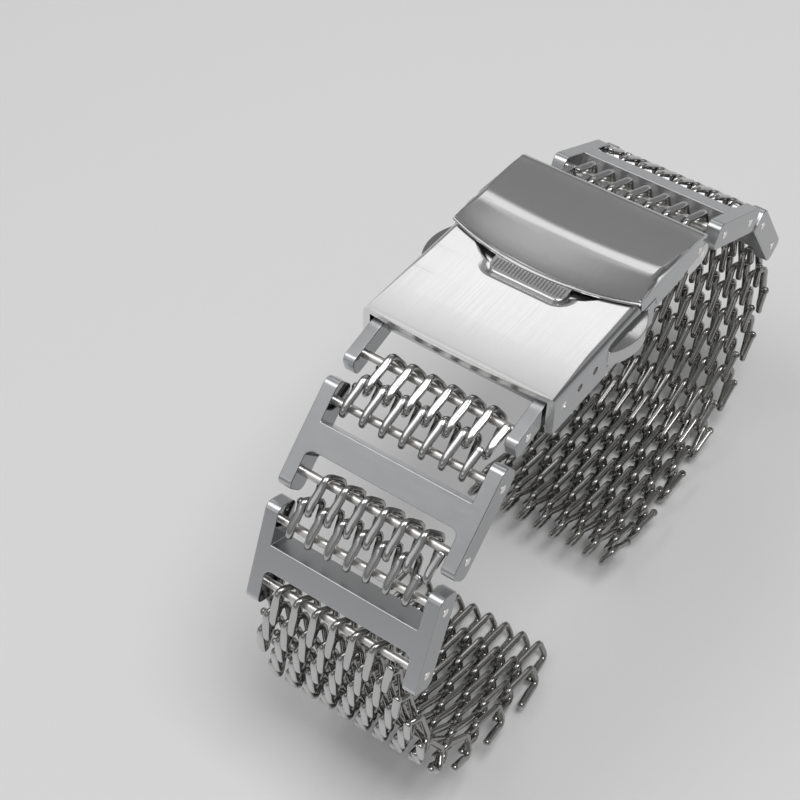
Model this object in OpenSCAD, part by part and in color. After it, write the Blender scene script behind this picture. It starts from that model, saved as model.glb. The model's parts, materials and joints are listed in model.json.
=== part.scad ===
/* [Band] */
// Width of the band over the links
band_w = 22; // [21:0.5:24]
// Thickness of the links
link_t = 3.25; // [3:0.05:3.6]
// Width of each leg of an H-shaped link
leg_w = 1.7; // [1.4:0.05:1.7]
// Distance between the two pins of an H-shaped link
pin_span = 8; // [7.6:0.1:10]
// How far a link's legs reach past the middle of each pin
pin_inset = 2.2; // [1.8:0.05:2.3]
// Length of the crossbar of an H-shaped link, along the band
bar_l = 3.1; // [2:0.1:3.6]
// Diameter of the pins that hold the coils
pin_d = 1; // [0.8:0.05:1.05]

/* [Coils] */
// Thickness of the coiled wire at its bends
wire_d = 0.76; // [0.6:0.02:0.78]
// Distance from one turn of a coil to the next
turn_pitch = 2.45; // [2.4:0.01:2.5]
// Height of a coil between the middles of its top and bottom wires
coil_rise = 2.5; // [2.3:0.05:2.7]
// Sideways lean of the straight wires for each millimetre along the band
wire_lean = 0.08; // [0.04:0.01:0.1]
// How far two hooked coils reach past each other, between the middles of their wires
hook_depth = 1.5; // [1.4:0.05:1.6]
// Distance from one coil to the next in the short strips
strip_pitch = 3.05; // [3:0.05:3.4]
// Distance from one coil to the next in the long mesh
mesh_pitch = 3.8; // [3.4:0.05:4.2]
// Turns of a coil that lies between the legs of a link
inner_turns = 7; // [5:1:7]
// Turns of a coil across the whole band
full_turns = 9; // [7:1:9]
// Diameter of the bead that closes each end of a wire
bead_d = 1; // [0.8:0.05:1.05]
// Gap between a wire and the pin that it hooks
pin_gap = 0.05; // [0.03:0.01:0.1]

/* [Clasp] */
// Width of the clasp cover
cover_w = 23.4; // [23.4:0.2:25]
// Wall thickness of the cover's sides
wall_t = 0.9; // [0.7:0.05:0.95]
// Thickness of the cover's roof
roof_t = 0.7; // [0.6:0.05:0.75]
// How far the cover's front edge bows out in the middle
front_bow = 0.65; // [0.3:0.05:1]
// Distance between the adjustment holes along the cover
hole_step = 3; // [2.6:0.1:3]
// Thickness of the two folding blades
blade_t = 0.9; // [0.7:0.05:0.95]
// Width of the folding blades
blade_w = 13; // [10:0.5:15]
// Travel of the push buttons
button_travel = 1.2; // [0.8:0.1:1.3]
// Width of the nail tab on the flip lock
tab_w = 9.4; // [7:0.2:11]
// Number of ribs on the nail tab
tab_ribs = 20; // [10:1:24]
// Slope of the closed clasp, down towards its far end
clasp_tilt = 11; // [0:1:20]

/* [Hidden] */
$fn = 48;
front_rows = 13;
back_rows = 15;

steel = [0.8, 0.81, 0.83];
satin = [0.7, 0.71, 0.73];
dark = [0.55, 0.56, 0.58];
fit_gap = 0.01;      // radial gap of a pin in its hole
slide_gap = 0.1;     // gap between pieces that slide or fold past each other
far = 60;            // longer than any cut

// Wire bends: sideways step, radius and lean of one half turn for a straight of length s
function bend_step(s) = turn_pitch / 2 - wire_lean * s;
function bend_r(s) = norm([coil_rise, bend_step(s)]) / 2;
// Length of the straight wires that gives hooked coils the distance p
function straight_for(p, s = 2, n = 12) =
    n == 0 ? s : straight_for(p, p - 2 * bend_r(s) + hook_depth, n - 1);
strip_s = straight_for(strip_pitch);
mesh_s = straight_for(mesh_pitch);
// Distance from the middle of a pin to the middle of the coil that hooks it
function pin_to_coil(s) = s / 2 + bend_r(s) - wire_d / 2 - pin_gap - pin_d / 2;
strip_q = pin_to_coil(strip_s);
mesh_q = pin_to_coil(mesh_s);

// Clasp heights: zero is the middle of the space between the blades and the roof
base_z = -1.75;
roof_z = 3.35;
roof_mid_y = 14;
roof_arc_r = 300;
lower_top = base_z + blade_t;
upper_base = lower_top + 2 * slide_gap;
upper_top = upper_base + blade_t;
bar_y = 2.6;
bar_z = 0.9;
bar_d = 1.5;
bar_tip_d = 0.9;
hole_count = 3;
tube_d = 2.4;
blade_pin_y = 11;
blade_pin_z = (lower_top + upper_base) / 2;
hinge_d = 0.9;
knuckle_d = 2.2;
knuckle_l = 3.9;
cover_pin_y = 27.6;
cover_pin_z = upper_top - 0.1;
cover_knuckle_d = 1.8;
wall_end = 29.6;
lock_pin_y = 30.6;
lock_pin_z = 1.65;
lock_pin_d = 0.8;
lug_d = 2;
end_y = 33.2;
end_z = -1.1;
ear_d = 2.6;
ear_back = 31.2;
wide_end = 20.8;
narrow_w = cover_w - 1.8;
narrow_wall = 0.8;
button_y = 15.2;
button_half = 4;
button_out = 1.45;
button_low = -0.5;
button_top = 1.4;
flange_z = 1.9;
flange_t = 0.8;
u_w = cover_w - 2 * wall_t - 0.4;
u_leg_w = 1.4;
u_leg_t = 2.6;
u_len = 5;

// Bends: at hinge n of each side the band turns inwards by so many degrees, with even steps between
front_strip_bends = [[0, 15], [4, 4], [6, 13]];
front_mesh_bends = [[1, 14], [4, 3], [7, 14], [13, 3]];
back_strip_bends = [[0, 7], [5, 11]];
back_mesh_bends = [[1, 15], [4, 8], [9, 13], [12, 3], [15, 14]];
function turns_of(strip_bends, links, mesh_bends, rows) = concat(
    [for (i = [0 : links - 1]) lookup(i, strip_bends)],
    [for (i = [1 : rows]) lookup(i, mesh_bends)]);
front_turns = turns_of(front_strip_bends, 7, front_mesh_bends, front_rows);
back_turns = turns_of(back_strip_bends, 6, back_mesh_bends, back_rows);
strip_steps = [strip_q + strip_pitch / 2, strip_pitch / 2 + strip_q, pin_span];
function mesh_steps(rows) = [for (i = [0 : rows - 1]) i == 0 ? mesh_q + mesh_pitch / 2 : mesh_pitch];
front_lengths = concat([u_len], strip_steps, strip_steps, mesh_steps(front_rows));
back_lengths = concat(strip_steps, strip_steps, mesh_steps(back_rows));
function sum(v, n, i = 0) = i >= n ? 0 : v[i] + sum(v, n, i + 1);
function heading(turns, n) = sum(turns, n + 1);
// Hinge point n of a chain that runs towards side, 1 for the far side and -1 for the near side
function hinge(start, turns, lengths, side, n) =
    n == 0 ? start : hinge(start, turns, lengths, side, n - 1)
        + lengths[n - 1] * [0, side * cos(heading(turns, n - 1)), -sin(heading(turns, n - 1))];
front_start = [0, bar_y, bar_z];
back_start = [0, end_y, end_z];
function front_hinge(n) = hinge(front_start, front_turns, front_lengths, -1, n);
function back_hinge(n) = hinge(back_start, back_turns, back_lengths, 1, n);

// The whole loop is tilted, then set down with its lowest wire at zero height
function tilted(p) = [p.x, p.y * cos(clasp_tilt) + p.z * sin(clasp_tilt),
    p.z * cos(clasp_tilt) - p.y * sin(clasp_tilt)];
function row_middle(p, side, h, d) = tilted(p + d * [0, side * cos(h), -sin(h)]);
front_middles = [for (i = [0 : front_rows - 1]) row_middle(front_hinge(7 + i), -1,
    heading(front_turns, 7 + i), i == 0 ? mesh_q : mesh_pitch / 2)];
back_middles = [for (i = [0 : back_rows - 1]) row_middle(back_hinge(6 + i), 1,
    heading(back_turns, 6 + i), i == 0 ? mesh_q : mesh_pitch / 2)];
wire_out = bend_r(mesh_s) + wire_d / 2;
function reach_down(c, h) = c.z - abs(sin(h)) * mesh_s / 2 - (coil_rise + wire_d) / 2;
function reach_y(c, h, side) = c.y + side * (abs(cos(h)) * mesh_s / 2 + wire_out);
floor_z = min(concat(
    [for (i = [0 : front_rows - 1]) reach_down(front_middles[i], heading(front_turns, 7 + i) - clasp_tilt)],
    [for (i = [0 : back_rows - 1]) reach_down(back_middles[i], heading(back_turns, 6 + i) + clasp_tilt)]));
near_y = min([for (i = [0 : front_rows - 1])
    reach_y(front_middles[i], heading(front_turns, 7 + i) - clasp_tilt, -1)]);
far_y = max([for (i = [0 : back_rows - 1])
    reach_y(back_middles[i], heading(back_turns, 6 + i) + clasp_tilt, 1)]);

module placed() {
    translate([0, -(near_y + far_y) / 2, -floor_z]) rotate([-clasp_tilt, 0, 0]) children();
}

module on_front(n) {
    placed() translate(front_hinge(n)) rotate([heading(front_turns, n), 0, 0]) rotate([0, 0, 180]) children();
}

module on_back(n) {
    placed() translate(back_hinge(n)) rotate([-heading(back_turns, n), 0, 0]) children();
}

// An outline drawn in Y and Z, given thickness along X from x0 to x1
module side_cut(x0, x1) {
    translate([x0, 0, 0]) rotate([90, 0, 90]) linear_extrude(x1 - x0) children();
}

module rod(d, l) {
    rotate([0, 90, 0]) cylinder(d = d, h = l, center = true);
}

module capsule(y0, y1, d, z = 0) {
    translate([y0, z - d / 2]) square([y1 - y0, d]);
    translate([y0, z]) circle(d = d);
    translate([y1, z]) circle(d = d);
}

// Coils: a flat-wound wire of straight strands and half-turn bends
strand_d = 0.95 * wire_d;
lean_angle = atan(wire_lean);
strand_seat = strand_d / 2 * sin(lean_angle) + 0.01;
function first_wire_x(turns, half) =
    -turn_pitch * (half ? floor((turns - 1) / 2) + 0.5 : floor(turns / 2));

module bend(s) {
    rotate([0, -atan2(bend_step(s), coil_rise), 0])
        rotate([0, 90, 0])
            rotate_extrude(angle = 180)
                translate([bend_r(s), 0])
                    circle(d = wire_d, $fn = 20);
}

module strand(s) {
    rotate([90, 0, 0])
        cylinder(d = strand_d, h = s * norm([1, wire_lean]) + 2 * strand_seat, center = true, $fn = 20);
}

module top_strand(s) {
    translate([0, 0, coil_rise / 2]) rotate([0, 0, -lean_angle]) strand(s);
}

module low_strand(s) {
    translate([0, 0, -coil_rise / 2]) rotate([0, 0, lean_angle]) strand(s);
}

module bead(s, x, z) {
    translate([x, -s / 2, z]) sphere(d = bead_d, $fn = 20);
}

module coil(turns, s, half) {
    lean = wire_lean * s / 2;
    step = bend_step(s) / 2;
    color(steel)
        translate([first_wire_x(turns, half), 0, 0]) {
            for (i = [0 : turns - 1])
                translate([i * turn_pitch, 0, 0]) {
                    top_strand(s);
                    translate([lean + step, s / 2, 0]) bend(s);
                    translate([turn_pitch / 2, 0, 0]) low_strand(s);
                    if (i < turns - 1)
                        translate([turn_pitch / 2 + lean + step, -s / 2, 0]) rotate([0, 0, 180]) bend(s);
                }
            bead(s, -lean, coil_rise / 2);
            bead(s, (turns - 0.5) * turn_pitch + lean, -coil_rise / 2);
        }
}

// Strip coils 1 and 2 join the U link to H link 1, 3 and 4 lead on to H link 2,
// 5 and 6 join the lower blade to H link 3, 7 and 8 lead on to H link 4
module strip_coil(i) {
    first = i % 2 == 1;
    reach = first ? strip_q : strip_pitch / 2;
    n = [1, 2, 4, 5, 0, 1, 3, 4][i - 1];
    if (i <= 4)
        on_front(n) translate([0, reach, 0]) coil(inner_turns, strip_s, first);
    else
        on_back(n) translate([0, reach, 0]) coil(inner_turns, strip_s, first);
}

function mesh_turns(i) = i == 1 ? inner_turns : i == 2 ? full_turns - 1 : full_turns;

module front_coil(i) {
    on_front(6 + i) translate([0, i == 1 ? mesh_q : mesh_pitch / 2, 0]) coil(mesh_turns(i), mesh_s, i % 2 == 0);
}

module back_coil(i) {
    on_back(5 + i) translate([0, i == 1 ? mesh_q : mesh_pitch / 2, 0]) coil(mesh_turns(i), mesh_s, i % 2 == 0);
}

// H-shaped links: two legs with round ends, a crossbar with bevelled edges
bar_drop = 0.1;
bar_bevel = 0.35;

module bar_outline() {
    b = bar_l / 2;
    t = link_t / 2 - bar_drop;
    translate([pin_span / 2, 0])
        polygon([[-b, bar_bevel - t], [bar_bevel - b, -t], [b - bar_bevel, -t], [b, bar_bevel - t],
            [b, t - bar_bevel], [b - bar_bevel, t], [bar_bevel - b, t], [-b, t - bar_bevel]]);
}

module leg_outline() {
    end = pin_inset - link_t / 2;
    difference() {
        capsule(-end, pin_span + end, link_t);
        circle(d = pin_d + 2 * fit_gap);
        translate([pin_span, 0]) circle(d = pin_d + 2 * fit_gap);
    }
}

module h_link_shape() {
    color(satin) {
        side_cut(-band_w / 2, leg_w - band_w / 2) leg_outline();
        side_cut(band_w / 2 - leg_w, band_w / 2) leg_outline();
        side_cut(leg_w / 2 - band_w / 2, band_w / 2 - leg_w / 2) bar_outline();
    }
}

module h_pins_shape() {
    color(dark) {
        rod(pin_d, band_w);
        translate([0, pin_span, 0]) rod(pin_d, band_w);
    }
}

module h_link(i) {
    if (i <= 2) on_front(3 * i) h_link_shape();
    else on_back(3 * i - 7) h_link_shape();
}

module h_pins(i) {
    if (i <= 2) on_front(3 * i) h_pins_shape();
    else on_back(3 * i - 7) h_pins_shape();
}

module u_leg() {
    difference() {
        capsule(0, u_len + pin_inset - u_leg_t / 2, u_leg_t);
        circle(d = bar_d + 2 * fit_gap);
        translate([u_len, 0]) circle(d = pin_d + 2 * fit_gap);
    }
}

module u_link() {
    color(satin) on_front(0) {
        side_cut(-u_w / 2, u_leg_w - u_w / 2) u_leg();
        side_cut(u_w / 2 - u_leg_w, u_w / 2) u_leg();
        difference() {
            rod(tube_d, u_w - u_leg_w);
            rod(bar_d + 2 * fit_gap, u_w);
        }
    }
}

module u_link_pin() {
    color(dark) on_front(0) translate([0, u_len, 0]) rod(pin_d, u_w);
}

module spring_bar() {
    color(dark) placed() translate([0, bar_y, bar_z]) {
        rod(bar_d, u_w);
        rod(bar_tip_d, cover_w - 0.1);
    }
}

// Clasp cover: a shallow channel with an arched roof and round long edges
edge_r = 1.2;
dish_r = 7.5;
dish_z = 3;
dish_y = 19.6;

module roof_disc(drop) {
    translate([roof_mid_y, roof_z - drop - roof_arc_r]) circle(r = roof_arc_r, $fn = 720);
}

module cover_side(end) {
    intersection() {
        roof_disc(0);
        translate([0, base_z]) square([min(end, wall_end), far]);
    }
    if (end > wall_end) {
        intersection() {
            roof_disc(0);
            translate([wall_end - 1, lock_pin_z - lug_d / 2]) square([lock_pin_y - wall_end + 1, far]);
        }
        translate([lock_pin_y, lock_pin_z]) circle(d = lug_d);
    }
}

module round_section(w, top, r) {
    translate([0, far, 0]) rotate([90, 0, 0]) linear_extrude(2 * far) {
        translate([-w / 2, -far]) square([w, far + top - r]);
        translate([r - w / 2, -far]) square([w - 2 * r, far + top]);
        for (side = [-1, 1]) translate([side * (w / 2 - r), top - r]) circle(r = r);
    }
}

module cavity(w, end) {
    side_cut(-w / 2, w / 2) intersection() {
        roof_disc(roof_t);
        translate([-1, base_z - 1]) square([end + 1, far]);
    }
}

module cover() {
    bow_r = (pow(cover_w / 2, 2) + front_bow * front_bow) / (2 * front_bow);
    color(steel) placed() difference() {
        intersection() {
            union() {
                side_cut(-cover_w / 2, cover_w / 2) cover_side(wide_end);
                side_cut(-narrow_w / 2, narrow_w / 2) cover_side(lock_pin_y);
            }
            round_section(cover_w, roof_z, edge_r);
            translate([0, bow_r, -far]) cylinder(r = bow_r, h = 2 * far, $fn = 720);
        }
        cavity(cover_w - 2 * wall_t, wide_end - narrow_wall);
        cavity(narrow_w - 2 * narrow_wall, far);
        for (i = [0 : hole_count - 1])
            translate([0, bar_y + i * hole_step, bar_z]) rod(bar_tip_d + 2 * fit_gap, far);
        translate([0, cover_pin_y, cover_pin_z]) rod(hinge_d + 2 * fit_gap, far);
        translate([0, lock_pin_y, lock_pin_z]) rod(lock_pin_d + 2 * fit_gap, far);
        translate([-far, button_y - button_half - slide_gap, button_low - slide_gap])
            cube([2 * far, 2 * (button_half + slide_gap), button_top - button_low + 2 * slide_gap]);
        for (side = [-1, 1])
            translate([side * (narrow_w + far) / 2 - far / 2, flange_y - slide_gap, flange_z - slide_gap])
                cube([far, far, far]);
        translate([0, dish_y, dish_z]) cylinder(r = dish_r, h = far, $fn = 72);
    }
}

// Flip lock: a plate over the cover's far part, with a ridge, turned-down sides and a nail tab
lock_y = 15;
lock_bow = 2.4;
lock_base = roof_z + slide_gap;
lock_front_t = 0.5;
ridge_y = 21.8;
ridge_z = 4.6;
nose_r = 1.9;
nose_t = 0.5;
flange_y = 17.6;
flange_low_y = wide_end + slide_gap;
flange_low_z = 0.6;
ledge = 0.35;
ledge_t = 0.22;
ledge_run = 6;
tab_l = 2;
tab_t = 0.45;
rib_w = 0.22;
rib_h = 0.12;

module lock_plate_outline() {
    polygon([[lock_y - 1, lock_base], [lock_y - 1, lock_base + lock_front_t], [ridge_y, ridge_z],
        [lock_pin_y, lock_pin_z + nose_r], [lock_pin_y, lock_pin_z + nose_r - nose_t], [ridge_y, lock_base]]);
    intersection() {
        translate([lock_pin_y, lock_pin_z]) difference() {
            circle(r = nose_r);
            circle(r = nose_r - nose_t);
        }
        translate([lock_pin_y, lock_pin_z]) polygon([[0, 0], [far, far], [0, far]]);
    }
}

module flange_outline() {
    polygon([[flange_y, lock_base + 0.1], [flange_y, flange_z], [flange_low_y, flange_z],
        [flange_low_y + 0.5, flange_low_z], [lock_pin_y - 1.8, flange_low_z],
        [lock_pin_y, lock_pin_z - lug_d / 2 + 0.15], [lock_pin_y, lock_pin_z + nose_r - 0.05],
        [ridge_y, lock_base + 0.3]]);
    translate([lock_pin_y, lock_pin_z]) circle(d = lug_d - 0.3);
}

module lock_plan(grow) {
    bow_r = (pow(cover_w / 2, 2) + lock_bow * lock_bow) / (2 * lock_bow);
    translate([0, lock_y + bow_r, -far]) cylinder(r = bow_r + grow, h = 2 * far, $fn = 360);
}

module tab() {
    translate([-tab_w / 2, lock_y - tab_l, lock_base]) cube([tab_w, tab_l + 1, tab_t]);
    rib_step = tab_w / tab_ribs;
    for (i = [0 : tab_ribs - 1])
        translate([(i + 0.5) * rib_step - tab_w / 2 - rib_w / 2, lock_y - tab_l + 0.2, lock_base + tab_t - 0.1])
            cube([rib_w, tab_l - 0.6, rib_h + 0.1]);
}

module flip_lock() {
    color(satin) placed() {
        intersection() {
            side_cut(-cover_w / 2, cover_w / 2) lock_plate_outline();
            round_section(cover_w, ridge_z, edge_r);
            lock_plan(0);
        }
        intersection() {
            translate([-cover_w / 2, lock_y - ledge, lock_base]) cube([cover_w, ledge_run, ledge_t]);
            lock_plan(ledge);
        }
        tab();
        for (side = [-1, 1])
            difference() {
                intersection() {
                    side_cut(side * (cover_w - flange_t) / 2 - flange_t / 2, side * (cover_w - flange_t) / 2 + flange_t / 2)
                        flange_outline();
                    lock_plan(0);
                }
                translate([0, lock_pin_y, lock_pin_z]) rod(lock_pin_d + 2 * fit_gap, far);
            }
    }
}

module flip_lock_pin() {
    color(dark) placed() translate([0, lock_pin_y, lock_pin_z]) rod(lock_pin_d, cover_w);
}

// Push buttons: a half-moon head outside the cover, and a slide that reaches past the catch peg
peg_d = 2;
peg_head_d = 2.4;
peg_foot_d = 1.3;
peg_top = 2.2;
peg_neck_top = 1.5;
peg_head_z = 1.75;
peg_head_t = 0.2;
peg_tip_d = 1.6;
slide_t = 0.55;
slide_half = 2.3;
slide_past = 2.4;
slot_half = peg_head_d / 2 + 0.4;
left_slide_z = 0.45;
right_slide_z = left_slide_z + slide_t + slide_gap;
head_l = 1.2;
head_back = cover_w / 2 - wall_t - head_l;
shoulder_half = 4.5;

module button(slide_z) {
    face = cover_w / 2;
    r = (button_half * button_half + button_out * button_out) / (2 * button_out);
    inner = face - wall_t - 0.05;
    intersection() {
        translate([face + button_out - r, 0, button_low]) cylinder(r = r, h = button_top - button_low, $fn = 96);
        translate([head_back, -button_half, button_low])
            cube([far, 2 * button_half, button_top - button_low]);
    }
    translate([head_back, -button_half, button_low])
        cube([face - head_back, 2 * button_half, button_top - button_low]);
    translate([head_back - 0.2, -shoulder_half, 0]) cube([inner - head_back + 0.2, 2 * shoulder_half, slide_t]);
    difference() {
        translate([-slide_past, -slide_half, slide_z]) cube([inner + slide_past, 2 * slide_half, slide_t]);
        translate([-slot_half, -slot_half, -far]) cube([2 * slot_half + button_travel, 2 * slot_half, 2 * far]);
    }
}

module button_right() {
    color(steel) placed() translate([0, button_y, 0]) button(right_slide_z);
}

module button_left() {
    color(steel) placed() translate([0, button_y, 0]) rotate([0, 0, 180]) button(left_slide_z);
}

// One spring between the heads pushes both buttons out
spring_d = 1.1;
spring_wire = 0.22;
spring_turns = 14;
spring_back = 3.3;
spring_y = button_y - spring_back;
spring_z = 0.95;
spring_l = 2 * head_back - 0.3;

module button_spring() {
    rings = spring_turns * 8;
    sides = 5;
    pts = [for (i = [0 : rings], k = [0 : sides - 1])
        let (a = 360 * i / 8, b = 360 * k / sides, r = spring_d / 2 + spring_wire / 2 * cos(b))
            [spring_l * i / rings - spring_l / 2 + spring_wire / 2 * sin(b) * 0.9, r * cos(a), r * sin(a)]];
    skin = [for (i = [0 : rings - 1], k = [0 : sides - 1])
        let (m = (k + 1) % sides)
            each [[i * sides + k, (i + 1) * sides + k, (i + 1) * sides + m],
                [i * sides + k, (i + 1) * sides + m, i * sides + m]]];
    ends = [for (k = [1 : sides - 2]) each [[0, k, k + 1],
        [rings * sides, rings * sides + k + 1, rings * sides + k]]];
    color(dark) placed() translate([0, spring_y, spring_z]) polyhedron(pts, concat(skin, ends));
}

// Folding blades
plate_y = blade_pin_y + knuckle_d / 2 + 0.15;
peg_slot_front = 1.5;
peg_slot_back = 2.5;

module knuckles(list) {
    for (x = list)
        side_cut(x - knuckle_l / 2, x + knuckle_l / 2) {
            translate([blade_pin_y, blade_pin_z]) circle(d = knuckle_d);
            children();
        }
}

module lower_blade() {
    outer = (blade_w - knuckle_l) / 2;
    ear_w = leg_w;
    color(satin) placed() difference() {
        union() {
            translate([-blade_w / 2, plate_y, base_z]) cube([blade_w, ear_back - 0.1 - plate_y, blade_t]);
            translate([0.5 - band_w / 2, ear_back - ear_d / 2 + 0.1, base_z]) cube([band_w - 1, ear_d / 2 - 0.2, blade_t]);
            knuckles([-outer, outer]) translate([blade_pin_y, base_z]) square([knuckle_d, blade_t]);
            for (side = [-1, 1])
                side_cut(side * (band_w - ear_w) / 2 - ear_w / 2, side * (band_w - ear_w) / 2 + ear_w / 2)
                    capsule(ear_back, end_y, ear_d, end_z);
        }
        translate([0, blade_pin_y, blade_pin_z]) rod(hinge_d + 2 * fit_gap, far);
        translate([0, end_y, end_z]) rod(pin_d + 2 * fit_gap, far);
        translate([0, button_y, base_z - 1]) cylinder(d = peg_foot_d + 2 * fit_gap, h = 3);
    }
}

module upper_blade() {
    color(satin) placed() difference() {
        union() {
            translate([-blade_w / 2, plate_y, upper_base]) cube([blade_w, cover_pin_y - plate_y, blade_t]);
            knuckles([0]) translate([blade_pin_y, upper_base]) square([knuckle_d, blade_t]);
            side_cut(-blade_w / 2, blade_w / 2)
                translate([cover_pin_y, cover_pin_z]) circle(d = cover_knuckle_d);
        }
        translate([0, blade_pin_y, blade_pin_z]) rod(hinge_d + 2 * fit_gap, far);
        translate([0, cover_pin_y, cover_pin_z]) rod(hinge_d + 2 * fit_gap, far);
        translate([-slot_half, button_y - peg_slot_front, -far])
            cube([2 * slot_half, peg_slot_front + peg_slot_back, 2 * far]);
    }
}

module cover_pin() {
    color(dark) placed() translate([0, cover_pin_y, cover_pin_z]) rod(hinge_d, narrow_w);
}

module blade_pin() {
    color(dark) placed() translate([0, blade_pin_y, blade_pin_z]) rod(hinge_d, blade_w);
}

module catch_peg() {
    color(dark) placed() translate([0, button_y, 0]) rotate_extrude()
        polygon([[0, base_z], [peg_foot_d / 2, base_z], [peg_foot_d / 2, lower_top], [peg_d / 2, lower_top],
            [peg_d / 2, peg_neck_top], [peg_head_d / 2, peg_head_z], [peg_head_d / 2, peg_head_z + peg_head_t],
            [peg_tip_d / 2, peg_top], [0, peg_top]]);
}

module end_pin() {
    color(dark) placed() translate([0, end_y, end_z]) rod(pin_d, band_w);
}

cover();
flip_lock();
flip_lock_pin();
button_left();
button_right();
button_spring();
upper_blade();
lower_blade();
cover_pin();
blade_pin();
catch_peg();
spring_bar();
end_pin();
u_link();
u_link_pin();
for (i = [1 : 4]) h_link(i);
for (i = [1 : 4]) h_pins(i);
for (i = [1 : 8]) strip_coil(i);
for (i = [1 : front_rows]) front_coil(i);
for (i = [1 : back_rows]) back_coil(i);
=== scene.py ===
"""Looks of a steel mesh watch bracelet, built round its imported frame."""
import json
import logging
import math
from dataclasses import dataclass, field, fields
from enum import Enum

import bmesh
import bpy
from bmesh.types import BMesh, BMVert
from bpy.types import Material, Mesh, Node, NodeSocket, NodeTree, Object
from mathutils import Matrix, Vector

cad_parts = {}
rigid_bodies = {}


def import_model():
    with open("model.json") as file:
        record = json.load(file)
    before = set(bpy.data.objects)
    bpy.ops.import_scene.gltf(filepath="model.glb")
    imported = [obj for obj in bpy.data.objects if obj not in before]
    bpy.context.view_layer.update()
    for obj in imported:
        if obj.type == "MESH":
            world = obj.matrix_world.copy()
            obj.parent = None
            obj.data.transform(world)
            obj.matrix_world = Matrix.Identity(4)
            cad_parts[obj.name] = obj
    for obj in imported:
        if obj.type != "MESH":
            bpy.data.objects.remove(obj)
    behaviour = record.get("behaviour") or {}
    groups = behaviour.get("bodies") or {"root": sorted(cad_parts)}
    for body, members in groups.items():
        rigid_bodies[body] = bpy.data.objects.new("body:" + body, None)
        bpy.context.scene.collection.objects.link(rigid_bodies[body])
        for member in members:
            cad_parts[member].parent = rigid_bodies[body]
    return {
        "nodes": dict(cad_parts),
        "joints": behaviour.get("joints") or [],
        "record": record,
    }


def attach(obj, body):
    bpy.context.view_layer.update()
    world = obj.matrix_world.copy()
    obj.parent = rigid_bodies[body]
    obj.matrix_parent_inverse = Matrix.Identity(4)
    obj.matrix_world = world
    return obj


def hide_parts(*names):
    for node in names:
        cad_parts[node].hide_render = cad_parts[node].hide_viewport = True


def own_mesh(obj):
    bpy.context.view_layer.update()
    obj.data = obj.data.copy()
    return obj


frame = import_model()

Pair = tuple[float, float]
Triple = tuple[float, float, float]
Outline = list[Pair]

LOG = logging.getLogger("bracelet")
MM = 0.001
ACROSS = Vector((1.0, 0.0, 0.0))
CLASP_TILT = 11.0
SAME_POINT = 2e-6           # points of a solid that are nearer than this are one, in metres
SIDEWAYS = 0.6              # least share across the band in the normal of a polished side
SHARP, COIL_SHARP, RIB_SHARP = (math.radians(angle) for angle in (24, 70, 40))
MIX_SOCKETS = {"RGBA": (6, 7, 2), "FLOAT": (2, 3, 0)}       # a Mix node's two inputs and its output


class Half(Enum):
    """The two halves of the band, seen from the clasp."""

    NEAR = "near"
    FAR = "far"


class Grain(Enum):
    """Which way the fine lines of a satin finish run."""

    NONE = "none"
    ACROSS = "across"
    ALONG = "along"


# ---- node trees ----


class Value:
    """A number field in a node tree, which plain arithmetic can be written with."""

    def __init__(self, tree: NodeTree, socket: NodeSocket) -> None:
        """Keep the tree and the socket that gives the number."""
        self.tree = tree
        self.socket = socket

    def math(self, operation: str, *others: "Value | float") -> "Value":
        """Join a Math node to this value.

        Args:
            operation: the Math node's operation.
            others: the node's second and third inputs.

        Returns:
            The result as a new value.
        """
        node = self.tree.nodes.new("ShaderNodeMath")
        node.operation = operation
        for place_no, value in enumerate((self, *others)):
            feed(self.tree, node.inputs[place_no], value)
        return Value(self.tree, node.outputs[0])

    def __add__(self, other: "Value | float") -> "Value":
        """Sum."""
        return self.math("ADD", other)

    def __sub__(self, other: "Value | float") -> "Value":
        """Difference."""
        return self.math("SUBTRACT", other)

    def __mul__(self, other: "Value | float") -> "Value":
        """Product."""
        return self.math("MULTIPLY", other)

    def __truediv__(self, other: "Value | float") -> "Value":
        """Quotient."""
        return self.math("DIVIDE", other)

    def share(self, low: "Value | float", high: "Value | float") -> "Value":
        """How far this value has come from one bound to another.

        Args:
            low: the bound that gives 0.
            high: the bound that gives 1.

        Returns:
            The share, kept between 0 and 1.
        """
        node = self.tree.nodes.new("ShaderNodeMapRange")
        for name, value in (("Value", self), ("From Min", low), ("From Max", high)):
            feed(self.tree, node.inputs[name], value)
        return Value(self.tree, node.outputs["Result"])


def feed(tree: NodeTree, socket: NodeSocket, value: object) -> None:
    """Give an input what it reads.

    Args:
        tree: the tree that the input is in.
        socket: the input.
        value: a node, for its first output, or a socket, a Value or a plain value.
    """
    if isinstance(value, Node):
        value = value.outputs[0]
    if isinstance(value, Value):
        value = value.socket
    if isinstance(value, NodeSocket):
        tree.links.new(value, socket)
    else:
        socket.default_value = value


class Graph:
    """Short calls that put nodes into a tree."""

    def __init__(self, tree: NodeTree) -> None:
        """Keep the tree that the nodes go into."""
        self.tree = tree

    def add(self, kind: str, links: dict | None = None, **settings: object) -> Node:
        """Add a node.

        Args:
            kind: the node's type name.
            links: input name or number, to what the input reads.
            settings: attributes of the node itself.

        Returns:
            The new node.
        """
        node = self.tree.nodes.new(kind)
        for name, value in settings.items():
            setattr(node, name, value)
        for name, value in (links or {}).items():
            feed(self.tree, node.inputs[name], value)
        return node


# ---- finishes ----


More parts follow.
